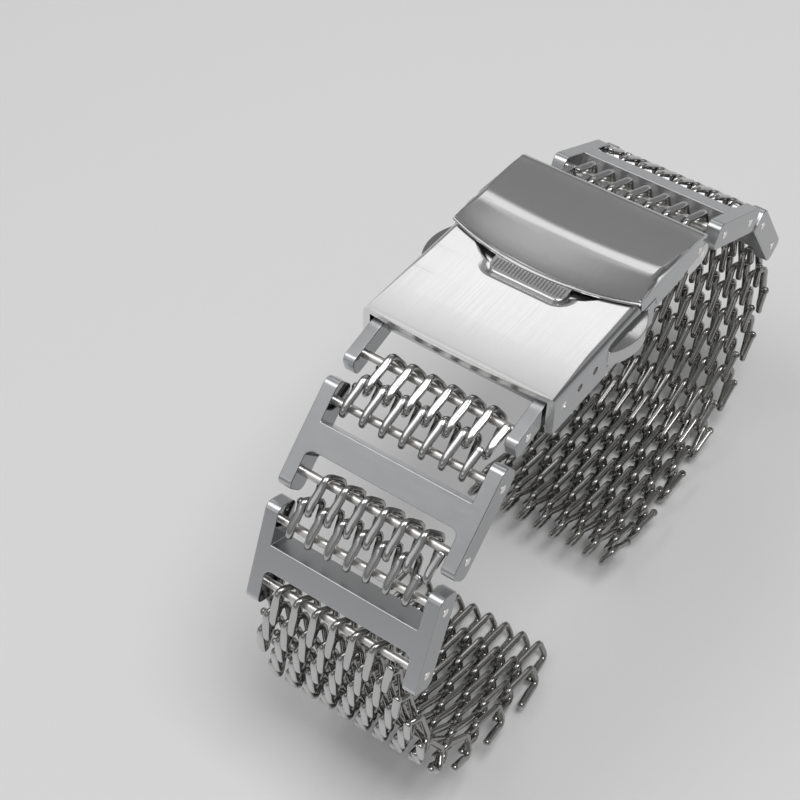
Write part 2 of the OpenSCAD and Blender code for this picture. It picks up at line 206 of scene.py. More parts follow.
@dataclass(frozen=True)
class SteelFinish:
    """A steel surface with fine lines, a faint haze and small changes of tone."""

    name: str
    tone: float
    tint: Triple = (1.0, 1.0, 1.0)
    roughness: float = 0.2
    rough_spread: float = 0.06
    grain: Grain = Grain.NONE
    grain_depth: float = 0.0
    grain_scale: float = 5200.0
    grain_stretch: float = 0.02
    haze_scale: float = 90.0
    haze: float = 0.04

    def colour(self, factor: float) -> tuple[float, float, float, float]:
        """The base colour, brightened or darkened by a factor."""
        return tuple(self.tone * factor * part for part in self.tint) + (1.0,)

    def build(self) -> Material:
        """Make the material.

        Returns:
            A node material that reads Object coordinates only.
        """
        material = bpy.data.materials.new(self.name)
        material.use_nodes = True
        tree = material.node_tree
        graph = Graph(tree)
        shader = tree.nodes["Principled BSDF"]
        shader.inputs["Metallic"].default_value = 1.0
        where = graph.add("ShaderNodeTexCoord").outputs["Object"]
        haze = graph.add("ShaderNodeTexNoise", {"Vector": where, "Scale": self.haze_scale, "Detail": 4.0})
        low, high, out = MIX_SOCKETS["RGBA"]
        tones = graph.add("ShaderNodeMix", {
            "Factor": haze.outputs["Fac"], low: self.colour(1.0 - self.haze),
            high: self.colour(1.0 + self.haze)}, data_type="RGBA")
        tree.links.new(tones.outputs[out], shader.inputs["Base Color"])
        stretch = {
            Grain.NONE: (1.0, 1.0, 1.0),
            Grain.ACROSS: (self.grain_stretch, 1.0, 1.0),
            Grain.ALONG: (1.0, self.grain_stretch, self.grain_stretch),
        }[self.grain]
        laid = graph.add("ShaderNodeMapping", {"Vector": where, "Scale": stretch})
        lines = graph.add("ShaderNodeTexNoise", {"Vector": laid, "Scale": self.grain_scale, "Detail": 3.0})
        rough = graph.add("ShaderNodeMapRange", {
            "Value": lines.outputs["Fac"], "From Min": 0.3, "From Max": 0.7,
            "To Min": self.roughness - self.rough_spread, "To Max": self.roughness + self.rough_spread})
        tree.links.new(rough.outputs["Result"], shader.inputs["Roughness"])
        if self.grain_depth:
            bump = graph.add("ShaderNodeBump", {
                "Height": lines.outputs["Fac"], "Strength": 1.0, "Distance": self.grain_depth * MM})
            tree.links.new(bump.outputs["Normal"], shader.inputs["Normal"])
        return material


@dataclass(frozen=True)
class PaintedLightWire(SteelFinish):
    """A wire finish with painted light: a painted highlight on the ground crowns and painted shade down the
    sides and in the hooks.
    """

    # The colour of the painted highlight on the crowns, and its roughness.
    crown_tone: float = 0.54
    crown_roughness: float = 0.2

    def build(self) -> Material:
        """Make the material.

        Returns:
            The plain steel material, darkened as painted shade, mixed with a bright one for a painted highlight
            by the wire's own crown attribute.
        """
        material = super().build()
        tree = material.node_tree
        graph = Graph(tree)
        shader = tree.nodes["Principled BSDF"]
        crown = graph.add("ShaderNodeAttribute", attribute_name="crown").outputs["Fac"]
        # The crowns get a bright painted highlight; the rest keeps the darker tone, which is painted shade.
        bright = {"Base Color": (*(self.crown_tone,) * 3, 1.0), "Roughness": self.crown_roughness}
        for name, kind in (("Base Color", "RGBA"), ("Roughness", "FLOAT")):
            low, high, out = MIX_SOCKETS[kind]
            plain = shader.inputs[name].links[0].from_socket
            mix = graph.add("ShaderNodeMix", {"Factor": crown, low: plain, high: bright[name]}, data_type=kind)
            tree.links.new(mix.outputs[out], shader.inputs[name])
        return material


WARM, COOL, PLAIN = (1.0, 0.985, 0.96), (0.99, 1.0, 1.02), (1.0, 1.0, 1.0)
FINE_LINES = {"grain": Grain.ALONG, "grain_scale": 9000.0, "grain_stretch": 0.01}
# The wire's dark tone is painted shade on its sides and in its hooks; its crown tone is a painted highlight.
GROUND_WIRE = PaintedLightWire("ground_wire", 0.34, WARM, 0.18, 0.06, grain_scale=1400.0)
DRAWN_PIN = SteelFinish("drawn_pin", 0.85, WARM, 0.34, 0.06, Grain.ACROSS, grain_depth=0.0006)
SATIN_LINK = SteelFinish("satin_link", 0.6, COOL, 0.33, 0.03, Grain.ACROSS, grain_stretch=0.1)
# Side finishes: lower roughness for their polish, and a darker tone than the tops, which is painted shade
# standing in for their dark reflections.
POLISHED_SHADED_EDGE = SteelFinish("polished_shaded_edge", 0.36, COOL, 0.1, 0.03)
POLISHED_SHADED_SIDE = SteelFinish("polished_side", 0.42, COOL, 0.14, 0.02)
SATIN_COVER = SteelFinish("satin_cover", 0.8, PLAIN, 0.24, 0.02, **FINE_LINES)
# The lock's tone is set lower than the cover's as painted shade: the same steel, darkened for its dimmer
# reflection.
SATIN_LOCK = SteelFinish("satin_lock", 0.6, PLAIN, 0.2, 0.015, **FINE_LINES)
BRUSHED_BLADE = SteelFinish("brushed_blade", 0.64, PLAIN, 0.3, 0.07, Grain.ALONG, grain_depth=0.002)
POLISHED_BUTTON = SteelFinish("polished_button", 0.5, PLAIN, 0.14, 0.04)
SPRING_WIRE = SteelFinish("spring_wire", 0.55, (1.0, 0.98, 0.94), 0.25, 0.05)


class Workshop:
    """Makes each finish once and hands it out by name."""

    def __init__(self) -> None:
        """Start with nothing made."""
        self.made: dict[str, Material] = {}

    def finish(self, kind: SteelFinish) -> Material:
        """Give the material of a finish.

        Args:
            kind: the finish.

        Returns:
            Its material, made on the first call.
        """
        if kind.name not in self.made:
            self.made[kind.name] = kind.build()
        return self.made[kind.name]


WORKSHOP = Workshop()


def place(name: str, mesh: Mesh) -> Object:
    """Link a mesh to the scene as an object at the origin.

    Args:
        name: the piece's name.
        mesh: its mesh, in the row frame.

    Returns:
        The new object.
    """
    piece = bpy.data.objects.new(name, mesh)
    bpy.context.scene.collection.objects.link(piece)
    return piece


def dress(mesh: Mesh, *finishes: SteelFinish) -> None:
    """Give a mesh its finishes, in place of what it had.

    Args:
        mesh: the mesh.
        finishes: its finishes, in the order of its material numbers.
    """
    mesh.materials.clear()
    for finish in finishes:
        mesh.materials.append(WORKSHOP.finish(finish))


def baked(piece: Object) -> Mesh:
    """A plain mesh of an object, as its modifiers leave it."""
    bpy.context.view_layer.update()
    return bpy.data.meshes.new_from_object(piece.evaluated_get(bpy.context.evaluated_depsgraph_get()))


class Generator:
    """A Geometry Nodes tree with named inputs, which makes plain meshes."""

    def __init__(self, name: str, inputs: dict[str, str]) -> None:
        """Make the tree, its inputs and its output.

        Args:
            name: the tree's name.
            inputs: each input's name and kind.
        """
        self.tree = bpy.data.node_groups.new(name, "GeometryNodeTree")
        self.graph = Graph(self.tree)
        self.ids = {}
        for label, kind in inputs.items():
            socket = self.tree.interface.new_socket(label, in_out="INPUT", socket_type="NodeSocket" + kind)
            self.ids[label] = socket.identifier
        self.tree.interface.new_socket("Mesh", in_out="OUTPUT", socket_type="NodeSocketGeometry")
        self.given = self.graph.add("NodeGroupInput")

    def close(self, shape: Node) -> None:
        """End the tree: make the shape's instances real and give it its finish.

        Args:
            shape: the last node of the shape.
        """
        real = self.graph.add("GeometryNodeRealizeInstances", {"Geometry": shape})
        dressed = self.graph.add("GeometryNodeSetMaterial", {
            "Geometry": real, "Material": self.given.outputs["Finish"]})
        self.graph.add("NodeGroupOutput", {0: dressed})

    def run(self, name: str, values: dict[str, object]) -> Object:
        """Set the inputs and keep the result as a plain mesh.

        Args:
            name: the piece's name.
            values: each input's value.

        Returns:
            The piece, at the origin.
        """
        holder = place(name + "_tree", bpy.data.meshes.new(name + "_tree"))
        modifier = holder.modifiers.new("nodes", "NODES")
        modifier.node_group = self.tree
        for label, value in values.items():
            modifier[self.ids[label]] = value
        mesh = baked(holder)
        mesh.name = name
        bpy.data.objects.remove(holder)
        return place(name, mesh)


# ---- hooked coils ----


@dataclass
class CoilForm:
    """How one coil of the mesh is wound, in millimetres."""

    straight: float
    pitch: float = 2.45
    bend_reach: float = 1.361
    bend_run: float = 4.1
    top_height: float = 1.32
    low_height: float = 1.25
    top_advance: float = 0.3
    low_advance: float = 0.2
    round_share: float = 1.0
    squareness: float = 4.0
    strand_radius: float = 0.485
    wire_radius: float = 0.38
    crown_start: float = 1.45
    crown_rise: float = 0.19
    flat_low: float = 1.57
    bead_radius: float = 0.5
    sides: int = 16


def socket_name(size: str) -> str:
    """The input's name for one of a coil's sizes."""
    return size.replace("_", " ").title()


class CoilTree(Generator):
    """The Geometry Nodes tree that winds a coil from its sizes."""

    STEPS_PER_TURN = 34
    END_SHARE = 0.999999            # keeps the last point in the last turn
    SWELL_HEIGHTS = (0.2, 0.95)     # shares of the height between which a strand swells
    # Heights below and above the crown's start over which the painted highlight fades in.
    CROWN_BELOW, CROWN_ABOVE = 0.25, 0.1
    BEAD_SEGMENTS, BEAD_RINGS = 16, 10

    def __init__(self) -> None:
        """Make the tree with an input for each size, and lay out its nodes."""
        self.sizes = ["Turns", "Points", *(socket_name(size.name) for size in fields(CoilForm))]
        kinds = {name: "Int" if name in ("Points", "Sides") else "Float" for name in self.sizes}
        super().__init__("wound_coil", kinds | {"Place": "Vector", "Turn": "Rotation", "Finish": "Material"})
        self.build()

    def build(self) -> None:
        """Lay out the nodes: a line of points, wound into a coil, given thickness and ground flat."""
        graph, given = self.graph, self.given
        size = {name: Value(self.tree, given.outputs[name]) for name in self.sizes}
        index = Value(self.tree, graph.add("GeometryNodeInputIndex").outputs[0])
        half_run = size["Straight"] + size["Bend Run"]
        whole = size["Turns"] * half_run * 2.0 - size["Bend Run"]
        travel = index / (size["Points"] - 1.0) * whole * self.END_SHARE
        turn = (travel / (half_run * 2.0)).math("FLOOR")
        within = travel - turn * half_run * 2.0
        low = (within / half_run).math("FLOOR")
        along = within - low * half_run
        sign = low * -2.0 + 1.0
        straight = (along / size["Straight"]).math("MINIMUM", 1.0)
        share = ((along - size["Straight"]) / size["Bend Run"]).math("MAXIMUM", 0.0)
        angle = share * math.pi
        sine, cosine = angle.math("SINE"), angle.math("COSINE")
        power = size["Squareness"]
        norm = (sine.math("ABSOLUTE").math("POWER", power) + cosine.math("ABSOLUTE").math("POWER", power)).math(
            "POWER", power.math("POWER", -1.0))
        y = sign * (size["Straight"] * (straight - 0.5) + size["Bend Reach"] * (sine / norm))
        height = sign * (cosine / norm)
        top = height.math("GREATER_THAN", 0.0)
        z = height * (top * (size["Top Height"] - size["Low Height"]) + size["Low Height"])
        bend_advance = (size["Pitch"] - size["Top Advance"] - size["Low Advance"]) * 0.5
        soft = share * share * (share * -2.0 + 3.0)
        softer = soft * soft * (soft * -2.0 + 3.0)
        eased = size["Round Share"] * (softer - soft) + soft
        x = (turn * size["Pitch"] + low * (size["Top Advance"] + bend_advance)
             + straight * (low * (size["Low Advance"] - size["Top Advance"]) + size["Top Advance"])
             + bend_advance * eased)
        spread = y / (size["Straight"] * 0.5 + size["Bend Reach"])
        swell = (spread * spread * -1.0 + 1.0) * height.share(*self.SWELL_HEIGHTS)
        thickness = size["Wire Radius"] + (size["Strand Radius"] - size["Wire Radius"]) * swell
        line = graph.add("GeometryNodeMeshLine", {"Count": size["Points"]})
        spot = graph.add("ShaderNodeCombineXYZ", {"X": x, "Y": y, "Z": z})
        wound = graph.add("GeometryNodeSetPosition", {"Geometry": line, "Position": spot})
        kept = graph.add("GeometryNodeStoreNamedAttribute", {
            "Geometry": wound, "Name": "wire", "Value": thickness}, data_type="FLOAT", domain="POINT")
        curve = graph.add("GeometryNodeMeshToCurve", {"Mesh": kept})
        wire = graph.add("GeometryNodeInputNamedAttribute", {"Name": "wire"}, data_type="FLOAT")
        thick = graph.add("GeometryNodeSetCurveRadius", {"Curve": curve, "Radius": wire})
        ring = graph.add("GeometryNodeCurvePrimitiveCircle", {"Resolution": size["Sides"], "Radius": 1.0})
        tube = graph.add("GeometryNodeCurveToMesh", {"Curve": thick, "Profile Curve": ring, "Fill Caps": True})
        if "Scale" in tube.inputs:
            self.tree.links.new(wire.outputs[0], tube.inputs["Scale"])
        ends = graph.add("GeometryNodeCurveEndpointSelection")
        ball = graph.add("GeometryNodeMeshUVSphere", {
            "Segments": self.BEAD_SEGMENTS, "Rings": self.BEAD_RINGS, "Radius": size["Bead Radius"]})
        beads = graph.add("GeometryNodeInstanceOnPoints", {
            "Points": thick, "Selection": ends, "Instance": ball})
        solid = graph.add("GeometryNodeRealizeInstances", {"Geometry": beads})
        joined = graph.add("GeometryNodeJoinGeometry")
        for part in (solid, tube):
            self.tree.links.new(part.outputs[0], joined.inputs[0])
        at = graph.add("ShaderNodeSeparateXYZ", {"Vector": graph.add("GeometryNodeInputPosition")}).outputs
        up = Value(self.tree, at["Z"])
        over = (up - size["Crown Start"]).math("MAXIMUM", 0.0)
        fade = (over / (size["Crown Rise"] * -1.0)).math("EXPONENT")
        held = (up - over + (fade * -1.0 + 1.0) * size["Crown Rise"]).math("MAXIMUM", size["Flat Low"] * -1.0)
        level = graph.add("ShaderNodeCombineXYZ", {"X": at["X"], "Y": at["Y"], "Z": held})
        ground = graph.add("GeometryNodeSetPosition", {"Geometry": joined, "Position": level})
        # The crown share is the mask of the painted highlight: 1 on the crowns, 0 down the sides, which the
        # finish paints in shade.
        crown = held.share(size["Top Height"] - self.CROWN_BELOW, size["Crown Start"] + self.CROWN_ABOVE)
        marked = graph.add("GeometryNodeStoreNamedAttribute", {
            "Geometry": ground, "Name": "crown", "Value": crown}, data_type="FLOAT", domain="POINT")
        small = graph.add("GeometryNodeTransform", {"Geometry": marked, "Scale": (MM, MM, MM)})
        self.close(graph.add("GeometryNodeTransform", {
            "Geometry": small, "Translation": given.outputs["Place"], "Rotation": given.outputs["Turn"]}))

    def wind(self, name: str, form: CoilForm, turns: int, matrix: Matrix, finish: Material) -> Object:
        """Wind one coil and leave it as a plain mesh.

        Args:
            name: the piece's name.
            form: the coil's sizes.
            turns: how many top strands it has.
            matrix: where its first strand's middle goes, and which way it faces.
            finish: its material.

        Returns:
            The finished piece, at the origin.
        """
        sizes = {socket_name(size.name): getattr(form, size.name) for size in fields(form)}
        piece = self.run(name, sizes | {
            "Turns": float(turns), "Points": turns * self.STEPS_PER_TURN, "Place": tuple(matrix.translation),
            "Turn": tuple(matrix.to_euler("XYZ")), "Finish": finish})
        for attribute in [a for a in piece.data.attributes if a.name == "wire"]:
            piece.data.attributes.remove(attribute)
        piece.data.set_sharp_from_angle(angle=COIL_SHARP)
        return piece


# ---- the band ----


@dataclass
class Band:
    """One half of the band: the chain of bodies from the clasp to the free end."""

    half: Half
    bodies: list[str]
    end_mount: str
    strip_straight: float = 1.827
    mesh_straight: float = 2.601
    strip_hook: float = 1.345
    mesh_hook: float = 1.72
    strip_pitch: float = 3.05
    mesh_pitch: float = 3.8
    inner_turns: int = 7
    full_turns: int = 9
    points: list[Vector] = field(default_factory=list)

    def read_hinges(self) -> None:
        """Take each hinge's place from the frame, and the free end's from its mount."""
        where = {joint["child"]: Vector(joint["pos_m"]) for joint in frame["joints"] if "pos_m" in joint}
        mounts = {mount["name"]: Vector(mount["pos_m"]) for mount in frame["record"]["mounts"]}
        self.points = [where[body] for body in self.bodies] + [mounts[self.end_mount]]

    def seat(self, place_no: int, reach: float = 0.0, shift: float = 0.0) -> Matrix:
        """Where a piece sits on its hinge.

        Args:
            place_no: its place in the chain.
            reach: distance from the hinge to the piece's middle, in millimetres.
            shift: distance of its first strand from the middle, in millimetres.

        Returns:
            The matrix from the piece's own axes to the row frame.
        """
        start = self.points[place_no]
        along = (self.points[place_no + 1] - start).normalized()
        side = ACROSS if self.half is Half.FAR else -ACROSS
        out = side.cross(along)
        matrix = Matrix((side, along, out)).transposed().to_4x4()
        matrix.translation = start + along * reach * MM + side * shift * MM
        return matrix

    def first_strand(self, turns: int, between: bool) -> float:
        """How far a coil's first strand lies from the band's middle.

        Args:
            turns: the coil's turns.
            between: whether its strands lie between those of its neighbours.

        Returns:
            The distance in millimetres.
        """
        steps = (turns - 1) // 2 + 0.5 if between else turns // 2
        return -CoilForm.pitch * steps

    def build(self, tree: CoilTree) -> None:
        """Wind every coil of this half and hang it on its body.

        Args:
            tree: the coil's node tree.
        """
        self.read_hinges()
        finish = WORKSHOP.finish(GROUND_WIRE)
        for place_no, body in enumerate(self.bodies):
            if "link" in body:
                link = ULink() if body == "u_link" else HLink()
                link.build(body, body, "link", self.seat(place_no))
                continue
            number = int(body.rsplit("_", 1)[1])
            strip = body.startswith("strip")
            if strip:
                odd = number % 2 == 1
                form = CoilForm(self.strip_straight)
                reach = self.strip_hook if odd else self.strip_pitch / 2
                turns, between = self.inner_turns, odd
            else:
                form = CoilForm(self.mesh_straight)
                reach = self.mesh_hook if number == 1 else self.mesh_pitch / 2
                turns = {1: self.inner_turns, 2: self.full_turns - 1}.get(number, self.full_turns)
                between = number % 2 == 0
            shift = self.first_strand(turns, between) + (form.low_advance - form.top_advance) / 4
            piece = tree.wind(body + "_wire", form, turns, self.seat(place_no, reach, shift), finish)
            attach(piece, body)
            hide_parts(body)
            LOG.info("%s: %d turns, %d faces", piece.name, turns, len(piece.data.polygons))


# ---- rigid pieces ----


def break_edges(piece: Object, width: float, segments: int, crease: float) -> None:
    """Bevel a piece's sharp edges.

    Args:
        piece: the piece.
        width: the bevel's width, in the piece's own unit.
        segments: its number of steps.
        crease: least angle of an edge that is bevelled, in degrees.
    """
    bevel = piece.modifiers.new("edge", "BEVEL")
    bevel.width = width
    bevel.segments = segments
    bevel.limit_method = "ANGLE"
    bevel.angle_limit = math.radians(crease)


@dataclass
class RigidPiece:
    """A machined piece: its solid's own shape with the sharp edges broken."""

    node: str
    body: str
    slot: str
    finish: SteelFinish
    edge: float = 0.1
    crease: float = 38.0
    merge: float = 0.6

    def build(self) -> Object:
        """Copy the solid's mesh, merge it, round its edges and dress it.

        Returns:
            The finished piece.
        """
        mesh = frame["nodes"][self.node].data.copy()
        mesh.name = self.node + "_dressed"
        mesh.materials.clear()
        work = bmesh.new()
        work.from_mesh(mesh)
        bmesh.ops.remove_doubles(work, verts=work.verts, dist=SAME_POINT)
        bmesh.ops.dissolve_limit(work, angle_limit=math.radians(self.merge), verts=work.verts, edges=work.edges)
        work.to_mesh(mesh)
        work.free()
        piece = place(self.node + "_dressed", mesh)
        break_edges(piece, self.edge * MM, 2, self.crease)
        final = baked(piece)
        piece.modifiers.clear()
        piece.data = final
        dress(final, self.finish)
        for face in final.polygons:
            face.use_smooth = True
            face.material_index = 0
        final.set_sharp_from_angle(angle=SHARP)
        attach(piece, self.body)
        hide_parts(self.node)
        LOG.info("%s: %d faces", piece.name, len(final.polygons))
        return piece


# ---- pieces built from outlines ----


def join_rings(work: BMesh, loops: list[list[BMVert]]) -> None:
    """Lay faces between each ring of points and the next.

    Args:
        work: the mesh that they are in.
        loops: the rings, with as many points each.
    """
    for one, two in zip(loops, loops[1:]):
        for i in range(len(one)):
            j = (i + 1) % len(one)
            work.faces.new((one[i], one[j], two[j], two[i]))


def skin(rings: list[list[Triple]]) -> BMesh:
    """Close a solid over a row of rings.

    Args:
        rings: the rings, with as many points each.

    Returns:
        The closed mesh, with its faces outwards.
    """
    work = bmesh.new()
    loops = [[work.verts.new(point) for point in ring] for ring in rings]
    join_rings(work, loops)
    work.faces.new(loops[0][::-1])
    work.faces.new(loops[-1])
    bmesh.ops.recalc_face_normals(work, faces=work.faces)
    return work


def prism(outline: Outline, low: float, high: float, axis: str) -> BMesh:
    """Extrude a closed outline.

    Args:
        outline: its points, as (x, y) along "z" or as (y, z) along "x".
        low: where the extrusion starts.
        high: where it ends.
        axis: the direction of the extrusion, "x" or "z".

    Returns:
        The closed mesh, in millimetres.
    """
    work = bmesh.new()
    ends = []
    for level in (low, high):
        spots = [(a, b, level) if axis == "z" else (level, a, b) for a, b in outline]
        ends.append([work.verts.new(spot) for spot in spots])
    work.faces.new(ends[0][::-1])
    work.faces.new(ends[1])
    join_rings(work, ends)
    bmesh.ops.recalc_face_normals(work, faces=work.faces)
    return work


def arc(centre: Pair, radius: float, start: float, end: float, steps: int = 8) -> Outline:
    """Points on an arc.

    Args:
        centre: its centre.
        radius: its radius.
        start: first angle in degrees.
        end: last angle in degrees.
        steps: number of steps.

    Returns:
        The points.
    """
    angles = [math.radians(start + (end - start) * i / steps) for i in range(steps + 1)]
    return [(centre[0] + radius * math.cos(a), centre[1] + radius * math.sin(a)) for a in angles]


def rounded_box(low: Pair, high: Pair, radius: float) -> Outline:
    """An upright rectangle with round corners, anticlockwise.

    Args:
        low: its lower corner.
        high: its upper corner.
        radius: the corners' radius.

    Returns:
        The outline's points.
    """
    (x0, y0), (x1, y1), r = low, high, radius
    return (arc((x1 - r, y0 + r), r, -90, 0) + arc((x1 - r, y1 - r), r, 0, 90)
            + arc((x0 + r, y1 - r), r, 90, 180) + arc((x0 + r, y0 + r), r, 180, 270))


def to_object(name: str, work: BMesh) -> Object:
    """Turn a bmesh into an object and free it."""
    mesh = bpy.data.meshes.new(name)
    work.to_mesh(mesh)
    work.free()
    return place(name, mesh)


def combine(target: Object, tool: Object, operation: str) -> None:
    """Apply a boolean to an object and delete the tool.

    Args:
        target: the object that changes.
        tool: the other solid.
        operation: UNION, DIFFERENCE or INTERSECT.
    """
    modifier = target.modifiers.new("cut", "BOOLEAN")
    modifier.operation = operation
    modifier.solver = "EXACT"
    modifier.object = tool
    target.data = baked(target)
    target.modifiers.clear()
    bpy.data.objects.remove(tool)


def finish_piece(piece: Object, node: str, body: str, matrix: Matrix,
                 finishes: tuple[SteelFinish, SteelFinish], edge: float, crease: float = 40.0,
                 merge: float = 0.5) -> None:
    """Break a piece's edges, dress it, set it in place and hang it on its body.

    Args:
        piece: the object, in millimetres in its own frame.
        node: the solid that it stands for.
        body: the body that carries it.
        matrix: its own frame in the row frame, in metres.
        finishes: its finish, and that of its sides, whose darker tone is painted shade.
        edge: width of the broken edges.
        crease: least angle of an edge that is broken, in degrees.
        merge: greatest angle between faces that are merged, in degrees.
    """
    work = bmesh.new()
    work.from_mesh(piece.data)
    bmesh.ops.remove_doubles(work, verts=work.verts, dist=1e-4)
    bmesh.ops.dissolve_limit(work, angle_limit=math.radians(merge), verts=work.verts, edges=work.edges)
    for face in work.faces:
        face.smooth = True
    for line in work.edges:
        line.smooth = not SHARP < line.calc_face_angle(0.0) < math.radians(crease)
    work.to_mesh(piece.data)
    work.free()
    break_edges(piece, edge, 3, crease)
    weigh = piece.modifiers.new("weigh", "WEIGHTED_NORMAL")
    weigh.mode, weigh.weight, weigh.keep_sharp = "FACE_AREA", 50, True
    mesh = baked(piece)
    piece.modifiers.clear()
    piece.data = mesh
    dress(mesh, *finishes)
    for face in mesh.polygons:
        # Faces turned across the band take the side finish, darker as painted shade.
        face.material_index = 1 if abs(face.normal.x) > SIDEWAYS else 0
    mesh.transform(matrix @ Matrix.Scale(MM, 4))
    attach(piece, body)
    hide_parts(node)
    LOG.info("%s: %d faces", piece.name, len(mesh.polygons))


@dataclass
class HLink:
    """An H-shaped link: two legs and a crossbar in one flush plate, with round inner corners on one side."""

    width: float = 21.94
    thickness: float = 3.25
    leg: float = 1.67
    inset: float = 2.2
    span: float = 8.0
    bar: float = 3.1
    inner_round: float = 0.85
    end_round: float = 0.95
    sharp_round: float = 0.12

    def outline(self) -> Outline:
        """Draw the plate's outline.

        Returns:
            Its points seen from above, anticlockwise.
        """
        out, inside = self.width / 2, self.width / 2 - self.leg
        low, high = -self.inset, self.span + self.inset
        near, far = self.span / 2 - self.bar / 2, self.span / 2 + self.bar / 2
        r, q = self.inner_round, self.sharp_round
        half = [(inside, low), (out, low), (out, high), (inside, high)]
        half += arc((inside - r, far + r), r, 0, -90)
        left = [(-x, y) for x, y in reversed(half)]
        lower = arc((-inside + q, near - q), q, 180, 90, 3) + arc((inside - q, near - q), q, 90, 0, 3)
        return half + left + lower

    def build(self, node: str, body: str, slot: str, matrix: Matrix) -> None:
        """Build the link in place of its solid.

        Args:
            node: the solid's name.
            body: the body's name.
            slot: the material slot; not used.
            matrix: the link's own frame.
        """
        t = self.thickness / 2
        plate = to_object(node + "_plate", prism(self.outline(), -t - 1, t + 1, "z"))
        side = rounded_box((-self.inset, -t), (self.span + self.inset, t), self.end_round)
        combine(plate, to_object("side", prism(side, -self.width, self.width, "x")), "INTERSECT")
        finish_piece(plate, node, body, matrix, (SATIN_LINK, POLISHED_SHADED_EDGE), 0.11)


@dataclass
class ULink:
    """The U-shaped link under the cover: two legs on a tube."""

    width: float = 21.14
    thickness: float = 2.6
    leg: float = 1.4
    length: float = 5.0
    inset: float = 2.2
    tube: float = 2.4
    end_round: float = 0.8

    def build(self, node: str, body: str, slot: str, matrix: Matrix) -> None:
        """Build the link in place of its solid.

        Args:
            node: the solid's name.
            body: the body's name.
            slot: the material slot; not used.
            matrix: the link's own frame.
        """
        t = self.thickness / 2
        side = rounded_box((-t, -t), (self.length + self.inset, t), self.end_round)
        inner = self.width / 2 - self.leg
        link = to_object(node + "_legs", prism(arc((0, 0), self.tube / 2, 0, 354, 59), -inner, inner, "x"))
        for low in (-self.width / 2, self.width / 2 - self.leg):
            combine(link, to_object("leg", prism(side, low, low + self.leg, "x")), "UNION")
        finish_piece(link, node, body, matrix, (SATIN_LINK, POLISHED_SHADED_EDGE), 0.1)


@dataclass
class Cover:
    """The clasp's cover: its solid, with a softer pocket in the roof for a nail under the tab."""

    tab_half: float = 4.7
    tab_front: float = 13.0
    corner: float = 1.1
    flare: float = 2.4
    flare_start: float = 13.4
    flare_end: float = 16.6
    back: float = 18.5
    side_steps: int = 12
    roof_top: float = 3.33
    roof_middle: float = 14.0
    roof_radius: float = 300.0
    roof_ends: Pair = (-1.0, 33.0)
    roof_step: float = 0.3
    roof_steps: int = 114
    under: float = -9.0
    beside: float = 14.0
    old_round: Triple = (0.0, 19.6, 7.6)
    old_arc: tuple[float, float, int] = (205, 335, 40)
    old_floor: float = 2.8
    rings: tuple[Pair, ...] = (
        (2.98, 0.1), (3.0, 0.28), (3.07, 0.5), (3.17, 0.72),
        (3.26, 0.95), (3.32, 1.25), (3.36, 1.7), (3.6, 1.9))

    def outline(self, grow: float) -> Outline:
        """Draw the pocket's outline.

        Args:
            grow: its distance outside the tab, in millimetres.

        Returns:
            The outline's points, seen from above.
        """
        x, y, r = self.tab_half + grow, self.tab_front - grow, self.corner + grow
        right = arc((x - r, y + r), r, 270, 360, 10)
        start = max(right[-1][1] + 0.02, self.flare_start)
        for i in range(1, self.side_steps + 1):
            level = start + (self.back - start) * i / self.side_steps
            t = min(max((level - self.flare_start) / (self.flare_end - self.flare_start), 0.0), 1.0)
            right.append((x + self.flare * t * t * (3 - 2 * t), level))
        return right + [(-a, b) for a, b in reversed(right)]

    def roof_line(self) -> Outline:
        """Draw the roof's bowed line.

        Returns:
            Its points in y and z from front to back, closed under the cover.
        """
        front, back = self.roof_ends
        steps = [front + self.roof_step * i for i in range(self.roof_steps)]
        r = self.roof_radius
        drop = [r - math.sqrt(r ** 2 - (y - self.roof_middle) ** 2) for y in steps]
        roof = [(y, self.roof_top - fall) for y, fall in zip(steps, drop)]
        return roof + [(back, self.under), (front, self.under)]

    def cut(self, cover: Object) -> None:
        """Fill the solid's plain round pocket, smooth the roof and cut this pocket.

        Args:
            cover: the cover, in millimetres in the clasp's frame.
        """
        x, y, r = self.old_round
        plug = prism(arc((x, y), r, *self.old_arc), self.old_floor, self.roof_top + 0.01, "z")
        combine(cover, to_object("plug", plug), "UNION")
        combine(cover, to_object("roof", prism(self.roof_line(), -self.beside, self.beside, "x")), "INTERSECT")
        pocket = skin([[(a, b, z) for a, b in self.outline(grow)] for z, grow in self.rings])
        combine(cover, to_object("pocket", pocket), "DIFFERENCE")

    def build(self, node: str, body: str, slot: str, matrix: Matrix) -> None:
        """Build the cover in place of its solid.

        Args:
            node: the solid's name.
            body: the body's name.
            slot: the material slot; not used.
            matrix: the clasp's own frame.
        """
        work = bmesh.new()
        work.from_mesh(frame["nodes"][node].data)
        bmesh.ops.remove_doubles(work, verts=work.verts, dist=SAME_POINT)
        bmesh.ops.transform(work, matrix=Matrix.Scale(1 / MM, 4) @ matrix.inverted(), verts=work.verts)
        bmesh.ops.dissolve_limit(work, angle_limit=math.radians(0.05), verts=work.verts, edges=work.edges)
        cover = to_object(node + "_dressed", work)
        self.cut(cover)
        finish_piece(cover, node, body, matrix, (SATIN_COVER, POLISHED_SHADED_SIDE), 0.12, merge=0.04)


